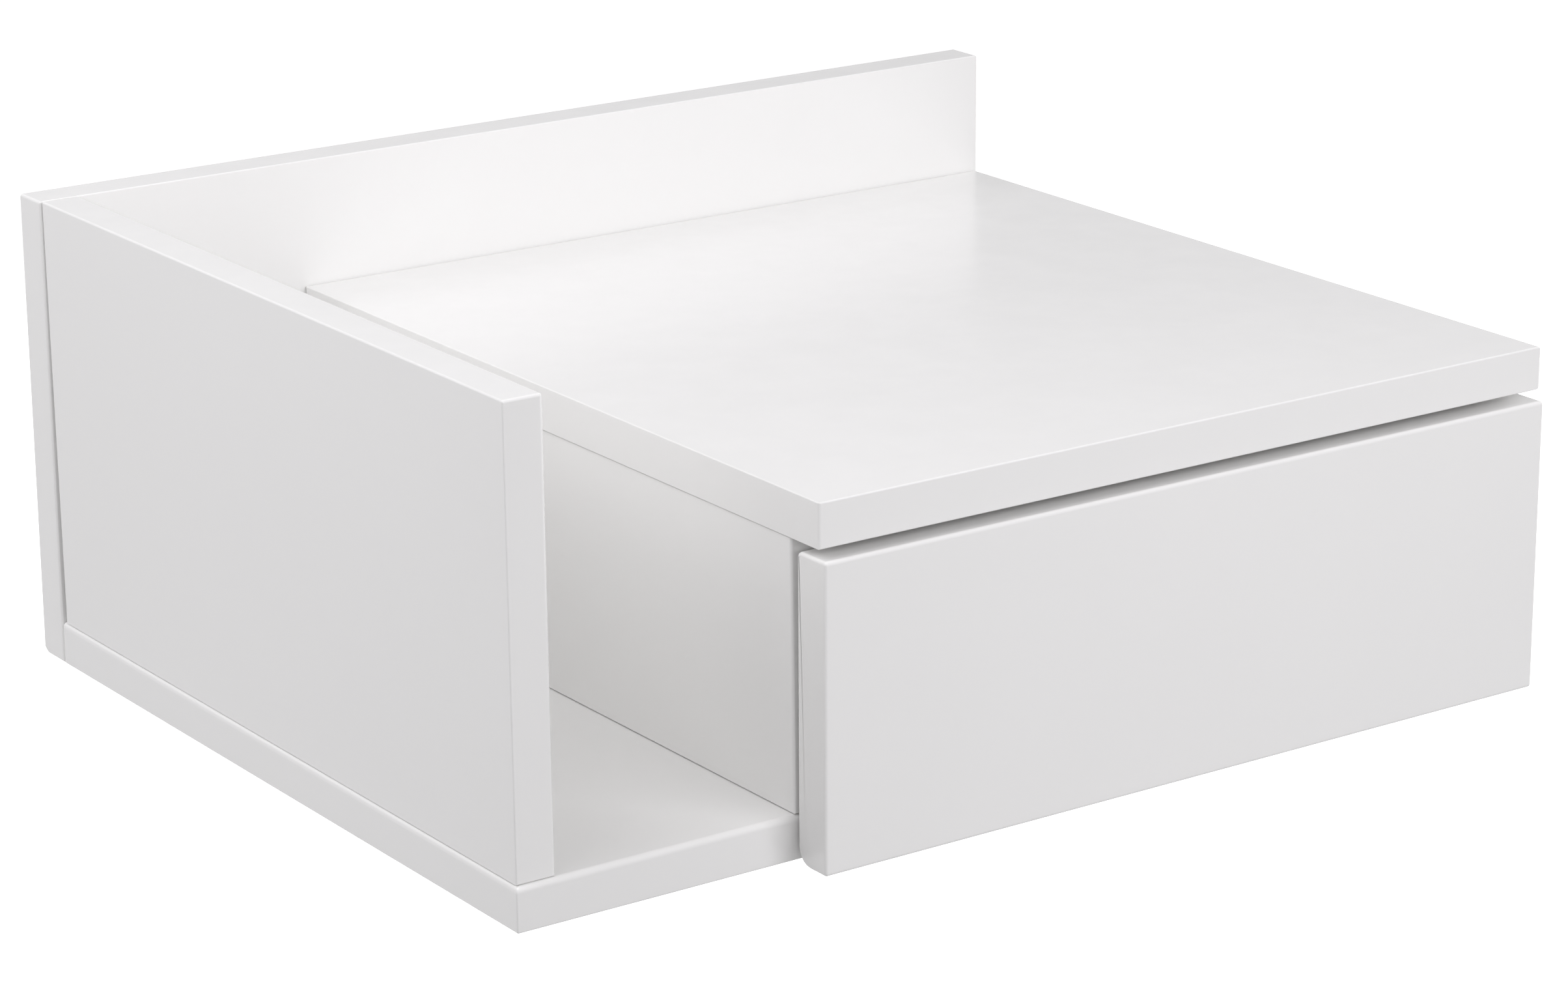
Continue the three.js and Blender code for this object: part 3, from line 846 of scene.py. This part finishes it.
@dataclass
class Hangers:
    """The keyhole plates let into the back board, and the pockets behind their keyholes."""

    corner: float = 4 * MM
    corner_segments: int = 8
    key_radius: float = 5.5 * MM
    slot_radius: float = 2.6 * MM
    slot_length: float = 16 * MM
    pocket_radius: float = 7 * MM
    pocket_depth: float = 9 * MM
    screw_margin: float = 6 * MM
    screw_sink: float = 0.1 * MM
    hole_radius: float = 2.2 * MM
    edge: float = 0.25 * MM
    facets: int = 40

    def slab(
        self, name: str, centre: Vector, size: tuple[float, float], span: tuple[float, float],
        corner: float
    ) -> Piece:
        """Makes a slab in the wall's plane with rounded corners.

        Args:
            name: Its name.
            centre: Its middle, in X and Z.
            size: Its width and height.
            span: The Y of its front face and of its rear face.
            corner: Its corners' radius.

        Returns:
            The slab.
        """
        wide, tall = size
        low = Vector((centre.x - wide / 2, span[0], centre.z - tall / 2))
        high = Vector((centre.x + wide / 2, span[1], centre.z + tall / 2))
        slab = block(name, low, high)
        with edit_mode(slab):
            round_edges(
                slab, lambda spot, along: abs(along.y) > ALIGNED, corner, self.corner_segments)
        return slab

    def pockets(self) -> list[Piece]:
        """Makes the cutters for the plates' recesses and the screw heads' pockets.

        Returns:
            The cutters.
        """
        cutters = []
        for hand in Hand:
            plate = f"hanger_plate_{hand.value}"
            wide, _, tall = size_of(plate)
            room, pocket = 2 * CLEARANCE, 2 * self.pocket_radius
            cutters += [
                self.slab(
                    "cutter", middle(plate), (wide + room, tall + room),
                    (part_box(plate)[0].y - CLEARANCE, OVERRUN), self.corner + CLEARANCE),
                self.slab(
                    "cutter", middle(plate), (pocket, self.slot_length + pocket),
                    (-self.pocket_depth, OVERRUN), self.pocket_radius - CLEARANCE)]
        return cutters

    def build(self, screw: Piece) -> None:
        """Makes both plates and their screws.

        Args:
            screw: The pattern of their screws.
        """
        for hand in Hand:
            node = f"hanger_plate_{hand.value}"
            low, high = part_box(node)
            wide, _, tall = size_of(node)
            centre = middle(node)
            plate = self.slab(f"{node}_pressed", centre, (wide, tall), (low.y, high.y), self.corner)
            key = centre - Vector((0, 0, self.slot_length / 2))
            top = key + Vector((0, 0, self.slot_length))
            side = Vector((self.slot_radius, self.pocket_depth, 0))
            rise = Vector((0, 0, tall / 2 - self.screw_margin))
            ends = [centre + rise, centre - rise]
            holes = [(self.key_radius, key), (self.slot_radius, top)]
            holes += [(self.hole_radius, end) for end in ends]
            cutters = [
                drill(radius, -self.pocket_depth, self.pocket_depth, place, FORWARD, self.facets)
                for radius, place in holes]
            cutters.insert(2, block("cutter", key - side, top + side))
            carve(plate, cutters)
            soften(plate, self.edge, 50)
            smooth(plate, 50)
            fit(plate, ZINC, CARCASE, node)
            depth = high.y + CLEARANCE - self.screw_sink
            places = [Vector((end.x, depth, end.z)) for end in ends]
            add_screws(screw, node, places, FORWARD, CARCASE)


@dataclass
class Carcase:
    """The six fixed boards, eased where they show and crisp where they butt."""

    boards: tuple[Board, ...] = (
        Board("back_board", rules=(
            ((FORWARD, UP), 0.5 * MM), ((FORWARD, LEFT), 0.8 * MM), ((FORWARD,), 0.5 * MM),
            ((REARWARD, LEFT), 0.6 * MM)),
            round_overs=(((REARWARD, DOWN), 3 * MM),)),
        Board("bottom_board", ease=2.1 * MM, rules=(
            ((DOWN,), 0.8 * MM), ((REARWARD, LEFT), 1 * MM), ((REARWARD,), 0.4 * MM),
            ((FORWARD, LEFT), 0.5 * MM))),
        Board("divider", head_lean=1.2 * MM, rules=(
            ((UP,), BUTT), ((DOWN,), BUTT), ((REARWARD,), BUTT))),
        Board("right_side", ease=1.2 * MM, rules=(
            ((UP,), BUTT), ((DOWN,), BUTT), ((REARWARD,), 0.4 * MM))),
        Board("top_board", ease=0.8 * MM, rules=(
            ((REARWARD,), 0.4 * MM), ((DOWN, LEFT), BUTT), ((UP, LEFT), 0.4 * MM),
            ((UP, FORWARD), 0.6 * MM), ((DOWN, FORWARD), 0.5 * MM), ((FORWARD,), 1 * MM),
            ((RIGHT,), 1.4 * MM))),
        Board("left_side", foot_lean=1.8 * MM, head_lean=1.6 * MM, rules=(
            ((FORWARD, DOWN), 0.5 * MM), ((FORWARD, RIGHT), 1.6 * MM), ((DOWN,), BUTT),
            ((LEFT, UP), 0.7 * MM), ((LEFT, FORWARD), 0.5 * MM), ((REARWARD, RIGHT), 2 * MM),
            ((REARWARD,), 0.5 * MM)),
            set_in=((LEFT, 0.8 * MM), (FORWARD, 0.6 * MM), (DOWN, -0.2 * MM))),
    )

    def build(self, cutters: Sequence[Piece]) -> None:
        """Makes the boards and cuts every hole in them."""
        for board in self.boards:
            board.build(cutters)


@dataclass
class Drawer:
    """The drawer's boards, its dowels and its soft bumpers."""

    boards: tuple[Board, ...] = (
        Board("drawer_front", body=DRAWER, rules=(
            ((UP, LEFT), 1.2 * MM), ((UP, RIGHT), 1.2 * MM), ((UP, FORWARD), 1.4 * MM),
            ((FORWARD, DOWN), 1.2 * MM), ((RIGHT, FORWARD), 0.6 * MM)),
            round_overs=(((REARWARD, UP), 2 * MM), ((REARWARD, DOWN), 6 * MM))),
        Board("drawer_side_left", FOIL, DRAWER, segments=4, rules=(((FORWARD,), BUTT),)),
        Board("drawer_side_right", FOIL, DRAWER, segments=4, rules=(((FORWARD,), BUTT),)),
        Board("drawer_back", FOIL, DRAWER, segments=4, rules=(((LEFT,), BUTT), ((RIGHT,), BUTT))),
        Board("drawer_floor", FOIL, DRAWER, ease=0.2 * MM, segments=2),
    )
    groove_depth: float = 5 * MM
    dowels: int = 4
    flutes: int = 12
    flute_share: float = 0.92
    flute_start: float = 1.2
    dowel_chamfer: float = 0.8 * MM
    bumper_facets: int = 40
    bumper_rings: int = 8

    def groove(self) -> Piece:
        """Makes the cutter for the grooves that hold the floor.

        Returns:
            The cutter.
        """
        low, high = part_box("drawer_floor")
        deep = self.groove_depth
        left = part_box("drawer_side_left")[1].x - deep
        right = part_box("drawer_side_right")[0].x + deep
        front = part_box("drawer_front")[1].y - deep
        return block("cutter", Vector((left, front, low.z - CLEARANCE)),
                     Vector((right, high.y + OVERRUN, high.z + CLEARANCE)))

    def build_dowels(self) -> list[Piece]:
        """Makes the fluted dowels.

        Returns:
            The cutters for their holes.
        """
        _, length, width = size_of("drawer_dowel_1")
        radius = width / 2
        slim = radius - self.dowel_chamfer
        pattern = turned("dowel_pattern", [
            (slim, 0), (radius, self.dowel_chamfer), (radius, length - self.dowel_chamfer),
            (slim, length)], 4 * self.flutes)
        share = self.flute_share
        step = math.pi / self.flutes
        with edit_mode(pattern):
            pick(pattern, lambda spot, along: abs(along.z) > ALIGNED and (
                math.atan2(spot.y, spot.x) % (2 * step) > step * self.flute_start))
            bpy.ops.transform.resize(value=(share, share, 1), center_override=(0, 0, length / 2))
        smooth(pattern, 50)
        cutters = []
        for dowel in row("drawer_dowel", self.dowels, REARWARD):
            dowel.fill(pattern, "fluted", BEECH, DRAWER)
            cutters.append(drill(
                radius + CLEARANCE, -CLEARANCE, length + CLEARANCE, dowel.place, dowel.way))
        discard(pattern)
        return cutters

    def build_bumpers(self) -> None:
        """Makes the soft domes behind the drawer front."""
        for hand in Hand:
            node = f"bumper_{hand.value}"
            _, height, width = size_of(node)
            angles = [math.pi / 2 * ring / self.bumper_rings for ring in range(self.bumper_rings)]
            profile = [(width / 2 * math.cos(angle), height * math.sin(angle)) for angle in angles]
            dome = turned(f"{node}_dome", profile, self.bumper_facets)
            lay(dome, start_of(node, REARWARD), REARWARD)
            smooth(dome, 60)
            fit(dome, SILICONE, DRAWER, node)

    def build(self, fasteners: Fasteners) -> None:
        """Makes the drawer.

        Args:
            fasteners: What gives the small screws' holes.
        """
        cutters = [self.groove(), *self.build_dowels(), *fasteners.box_bores()]
        for board in self.boards:
            board.build(() if board.node == "drawer_floor" else cutters)
        discard(*cutters)
        self.build_bumpers()


@dataclass
class RunnerPair:
    """The runners of one end of the bay, with their rollers, axles and small screws."""

    hand: Hand
    screw: Piece
    gauge: float = 1.2 * MM
    bend: float = 1.7 * MM
    bend_segments: int = 5
    lip: float = 3.5 * MM
    cap_reach: float = 8.5 * MM
    cap_notch: float = 40 * MM
    notch_lift: float = 1.5 * MM
    tab_height: float = 6 * MM
    tab_reach: float = 7 * MM
    hole_radius: float = 2.4 * MM
    axle_hole: float = 2.55 * MM
    screw_shares: tuple[float, ...] = (0.12, 0.52, 0.9)
    screw_head: float = 0.7 * MM
    roller_facets: int = 72
    axle_facets: int = 40

    def name(self, stem: str) -> str:
        """Gives a node's name at this end."""
        return f"{stem}_{self.hand.value}"

    @property
    def wall(self) -> float:
        """The X of the bay's wall, which the cabinet runner lies against."""
        low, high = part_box(self.name("cabinet_runner"))
        return low.x - CLEARANCE if self.hand is Hand.LEFT else high.x + CLEARANCE

    def across(self, distance: float) -> float:
        """Gives the X at a distance from the bay's wall."""
        return self.wall + self.hand.inward.sign * distance

    def bar(
        self, reach: tuple[float, float], low: tuple[float, float], high: tuple[float, float]
    ) -> Piece:
        """Makes a block between two distances from the wall and two corners in Y and Z."""
        left, right = sorted(self.across(distance) for distance in reach)
        return block("cutter", Vector((left, *low)), Vector((right, *high)))

    def folded(self, name: str, outline: Profile, front: float, rear: float) -> Piece:
        """Folds a sheet of steel along an outline in X and Z.

        Args:
            name: The piece's name.
            outline: Each fold's distance from the wall and height, on the sheet's outer side.
            front: The Y of its front end.
            rear: The Y of its rear end.

        Returns:
            The folded sheet.
        """
        centre = (front + rear) / 2
        points = [Vector((self.across(distance), centre, height)) for distance, height in outline]
        first, second = points[:2]
        along, start = second - first, (first + second) / 2
        bpy.ops.mesh.primitive_plane_add(
            size=1, location=start, rotation=(0, math.atan2(-along.z, along.x), 0))
        bpy.context.object.scale = (along.length, rear - front, 1)
        sheet = named(name)
        near = self.gauge / 4
        with edit_mode(sheet):
            pick(sheet, lambda spot, way: (
                abs(way.y) > ALIGNED and (spot - second).length < near))
            for fold, end in zip(points[1:], points[2:]):
                bpy.ops.mesh.extrude_edges_move(TRANSFORM_OT_translate={"value": end - fold})
            face_outward()
            round_edges(
                sheet, lambda spot, way: abs(way.y) > ALIGNED and any(
                    (spot - fold).length < near for fold in points[1:-1]),
                self.bend, self.bend_segments)
        outer = Vector((-along.z, 0, along.x)) * self.hand.inward.sign
        lead = min(sheet.data.polygons, key=lambda face: (face.center - start).xz.length)
        if lead.normal.dot(outer) < 0:
            with edit_mode(sheet):
                bpy.ops.mesh.flip_normals()
        modify(sheet, "SOLIDIFY", thickness=self.gauge, offset=-1, use_even_offset=True)
        return sheet

    def complete(
        self, runner: Piece, node: str, body: str, axle: str, web: float, face: float,
        *cutters: Piece
    ) -> None:
        """Drills a runner, breaks its cut edges, enamels it and puts its small screws in.

        Args:
            runner: The runner.
            node: Its node.
            body: Its body.
            axle: The axle that it carries, without its end.
            web: How far its web's inner side lies from the wall.
            face: How far the plane lies that its screws' heads rest on.
            cutters: What else is cut out of it.
        """
        fixed = body == CARCASE
        low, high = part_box(node)
        shares = self.screw_shares if fixed else self.screw_shares[:-1]
        height = middle(self.name("front_roller")).z
        depths = [low.y + share * (high.y - low.y) for share in shares]
        pivot = middle(self.name(axle))
        holes = [(self.axle_hole, Vector((self.across(web), pivot.y, pivot.z)))]
        holes += [
            (self.hole_radius, Vector((self.across(face), depth, height))) for depth in depths]
        length = self.gauge + OVERRUN
        carve(runner, [*cutters, *(
            drill(radius, -length, length, place, RIGHT, self.axle_facets)
            for radius, place in holes)])
        soften(runner, self.gauge / 6, 60)
        smooth(runner)
        fit(runner, ENAMEL, body, node)
        start = self.across(face + self.screw_head if fixed else face - self.screw_head)
        way = self.hand.inward.opposite if fixed else self.hand.inward
        places = [Vector((start, depth, height)) for depth in depths]
        add_screws(self.screw, node, places, way, body)

    def build_channel(self) -> None:
        """Makes the channel on the bay's wall, with its lip, notched cap and stop tab."""
        node, roller = self.name("cabinet_runner"), self.name("rear_roller")
        low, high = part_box(node)
        wide, web = high.x - low.x + CLEARANCE, CLEARANCE + self.gauge
        channel = self.folded(f"{node}_folded", [
            (wide, low.z + self.lip), (wide, low.z), (CLEARANCE, low.z), (CLEARANCE, high.z),
            (self.cap_reach, high.z)], low.y, high.y)
        travel = frame["joints"][0]["range_m"][1]
        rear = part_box(roller)[0].y - travel - CLEARANCE
        centre, half = middle(roller).z, self.tab_height / 2
        fuse(channel, self.bar(
            (CLEARANCE + self.gauge / 2, self.tab_reach), (rear - self.gauge, centre - half),
            (rear, centre + half)))
        notch = self.bar(
            (web, wide), (low.y - OVERRUN, high.z - self.notch_lift),
            (low.y + self.cap_notch, high.z + OVERRUN))
        self.complete(channel, node, CARCASE, "front_axle", web, web, notch)

    def build_rail(self) -> None:
        """Makes the rail on the drawer, with its ledge, web and foot."""
        node = self.name("drawer_runner")
        low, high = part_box(node)
        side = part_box(self.name("drawer_side"))[0 if self.hand is Hand.LEFT else 1].x
        web = abs(side - self.wall) - CLEARANCE
        near, far = sorted(abs(corner.x - self.wall) for corner in (low, high))
        foot = low.z + self.gauge
        outline = [(near, high.z), (web, high.z), (web, foot), (far, foot)]
        rail = self.folded(f"{node}_folded", outline, low.y, high.y)
        self.complete(rail, node, DRAWER, "rear_axle", web, web - self.gauge)

    def build_roller(self, stem: str) -> None:
        """Makes a nylon roller, dished between its hub and its rim.

        Args:
            stem: The roller's name without its end.
        """
        node = self.name(stem)
        wide, _, height = size_of(node)
        radius = height / 2
        bore, hub, rim = 2.55 * MM, 4.4 * MM, 7 * MM
        dish, soft = 1 * MM, 0.3 * MM
        half = [
            (bore + soft, 0), (hub, 0), (hub + soft, dish), (rim - soft, dish), (rim, 0),
            (radius - 2 * soft, 0), (radius - soft / 2, soft / 2), (radius, 2 * soft)]
        mirrored = [(ring, wide - height) for ring, height in reversed(half)]
        profile = [(bore, soft), *half, *mirrored, (bore, wide - soft), (bore, soft)]
        roller = turned(f"{node}_moulded", profile, self.roller_facets, bored=True)
        lay(roller, start_of(node, RIGHT), RIGHT)
        smooth(roller)
        fit(roller, NYLON, node, node)

    def build_axle(self, stem: str, body: str) -> None:
        """Makes a headed axle, riveted in its runner's web.

        Args:
            stem: The axle's name without its end.
            body: What it moves with.
        """
        node = self.name(stem)
        way = self.hand.inward if body == CARCASE else self.hand.inward.opposite
        length = size_of(node)[0]
        journal, shoulder, head = 2.25 * MM, 3.4 * MM, 3.75 * MM
        soft, web = 0.25 * MM, self.gauge + CLEARANCE
        head_start = length - 0.8 * MM
        start = start_of(node, way)
        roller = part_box(self.name(stem.replace("axle", "roller")))
        gap = min(abs(corner.x - start.x) for corner in roller)
        axle = turned(f"{node}_riveted", [
            (journal - soft, 0), (journal, soft), (journal, web), (shoulder, web),
            (shoulder, gap - CLEARANCE), (journal, gap - CLEARANCE), (journal, head_start),
            (head, head_start), (head, head_start + soft), (head - soft, length - soft / 2),
            (head / 2, length)], self.axle_facets)
        smooth(lay(axle, start, way))
        fit(axle, ZINC, body, node)

    def build(self) -> None:
        """Makes the runners, rollers and axles of this end."""
        self.build_channel()
        self.build_rail()
        for stem, body in (("front", CARCASE), ("rear", DRAWER)):
            self.build_roller(f"{stem}_roller")
            self.build_axle(f"{stem}_axle", body)


# Studio


@dataclass(frozen=True)
class Lamp:
    """A square soft lamp that points at the middle of the nightstand."""

    name: str
    place: Colour
    width: float
    power: float
    target: Colour = (0.0, -0.16, 0.0)
    colour: Colour = (0.99, 0.98, 1.0)

    def build(self) -> None:
        """Hangs the lamp."""
        data = bpy.data.lights.new(self.name, "AREA")
        data.shape = "SQUARE"
        data.size, data.energy, data.color = self.width, self.power, self.colour
        lamp = bpy.data.objects.new(self.name, data)
        lamp.visible_glossy = False
        lamp.location = self.place
        way = Vector(self.target) - Vector(self.place)
        lamp.rotation_euler = way.to_track_quat("-Z", "Y").to_euler()
        bpy.context.scene.collection.objects.link(lamp)


@dataclass(frozen=True)
class Glow:
    """Soft light from all round, and more of it from one side."""

    all_round: float
    towards: Direction
    extra: float
    colour: Colour

    def shader(self, tree: Tree) -> Socket:
        """Adds the light's nodes. The extra falls off with the square of the cosine.

        Args:
            tree: The world's nodes.

        Returns:
            The background shader.
        """
        way = tree.add("TexCoord", {}).outputs["Generated"]
        cosine = tree.add("VectorMath", {0: way, 1: self.towards.value}, operation="DOT_PRODUCT")
        strength = cosine.outputs["Value"]
        for operation, amount in (
                ("MAXIMUM", 0.0), ("POWER", 2.0), ("MULTIPLY", self.extra),
                ("ADD", self.all_round)):
            strength = tree.math(operation, strength, amount)
        return tree.add("Background", {"Color": self.colour, "Strength": strength}).outputs[0]


@dataclass
class Studio:
    """The floor, the lamps, the soft light all round and the camera."""

    floor_height: float = -0.45
    floor_size: float = 60.0
    floor_colour: Colour = (0.35, 0.35, 0.35)
    floor_seen: Colour = (0.9, 0.9, 0.88)
    floor_lift: float = 0.66
    light: Glow = Glow(0.325, FORWARD, 0.76, (0.99, 0.98, 1.0))
    mirrored: Glow = Glow(0.38, UP, 0.85, WHITE)
    lamps: tuple[Lamp, ...] = (
        Lamp("near_above_left", (-0.55, -0.25, 0.75), 0.6, 2.1),
        Lamp("near_left", (-0.8, -0.2, 0.4), 0.4, 0.95),
        Lamp("high_behind_left", (-0.8, 0.6, 1.0), 0.8, 5.9),
        Lamp("near_front", (0.15, -1.0, 0.35), 0.4, 2.35),
        Lamp("right", (1.7, -0.2, 0.5), 1.0, 13.5),
        Lamp("behind", (0.3, 1.7, 0.15), 1.0, 5),
    )
    camera_place: Colour = (-0.8738, -1.4244, 0.4620)
    camera_azimuth: float = 34.86
    camera_elevation: float = 17.44
    camera_roll: float = -0.31
    camera_lens: float = 107.0
    sensor_width: float = 36.0

    def build_camera(self) -> None:
        """Sets the camera where the photograph was taken from."""
        data = bpy.data.cameras.new("camera")
        data.sensor_fit = "HORIZONTAL"
        data.lens, data.sensor_width = self.camera_lens, self.sensor_width
        camera = bpy.data.objects.new("camera", data)
        camera.matrix_world = Matrix.Translation(self.camera_place)
        for angle, axis in (
                (-self.camera_azimuth, "Z"), (90 - self.camera_elevation, "X"),
                (self.camera_roll, "Z")):
            camera.matrix_world @= Matrix.Rotation(math.radians(angle), 4, axis)
        bpy.context.scene.collection.objects.link(camera)
        bpy.context.scene.camera = camera

    def build_floor(self) -> None:
        """Lays the plain pale floor, clear from below so that the underside can be seen."""
        bpy.ops.mesh.primitive_plane_add(size=self.floor_size, location=(0, 0, self.floor_height))
        floor = named("floor")
        material = bpy.data.materials.new("floor_finish")
        tree = Tree(material)
        matt = tree.add("BsdfDiffuse", {"Color": self.floor_colour}).outputs[0]
        pale = tree.add("BsdfDiffuse", {"Color": self.floor_seen}).outputs[0]
        lift = tree.add("Emission", {"Strength": self.floor_lift}).outputs[0]
        lifted = tree.add("AddShader", {0: pale, 1: lift}).outputs[0]
        above = tree.mix(tree.rays("Camera", "Glossy", "Transmission"), matt, lifted)
        clear = tree.add("BsdfTransparent", {}).outputs[0]
        below = tree.add("NewGeometry", {}).outputs["Backfacing"]
        tree.add("OutputMaterial", {"Surface": tree.mix(below, above, clear)})
        floor.data.materials.append(material)

    def build_world(self) -> None:
        """Sets the soft light all round, and the pale white room that is seen and mirrored."""
        world = bpy.data.worlds.new("studio")
        bpy.context.scene.world = world
        tree = Tree(world)
        seen = tree.add("Background", {"Color": WHITE}).outputs[0]
        lit = tree.mix(tree.rays("Glossy"), self.light.shader(tree), self.mirrored.shader(tree))
        bare = tree.rays("Camera", "Transmission")
        tree.add("OutputWorld", {"Surface": tree.mix(bare, lit, seen)})

    def build(self) -> None:
        """Sets up the studio."""
        self.build_camera()
        self.build_floor()
        self.build_world()
        for lamp in self.lamps:
            lamp.build()
        bpy.context.scene.view_settings.view_transform = "Standard"
        log.info("studio: %d lamps", len(self.lamps))


def main() -> None:
    """Builds the nightstand and the studio round it."""
    logging.basicConfig(level=logging.INFO, format="%(name)s: %(message)s")
    Studio().build()
    fasteners, hangers = Fasteners(), Hangers()
    cutters = [*fasteners.carcase_bores(), *hangers.pockets()]
    Carcase().build(cutters)
    discard(*cutters)
    Drawer().build(fasteners)
    fasteners.build()
    screw = PLATE_SCREW.pattern()
    hangers.build(screw)
    for hand in Hand:
        RunnerPair(hand, screw).build()
    discard(screw)


if __name__ == "__main__":
    main()
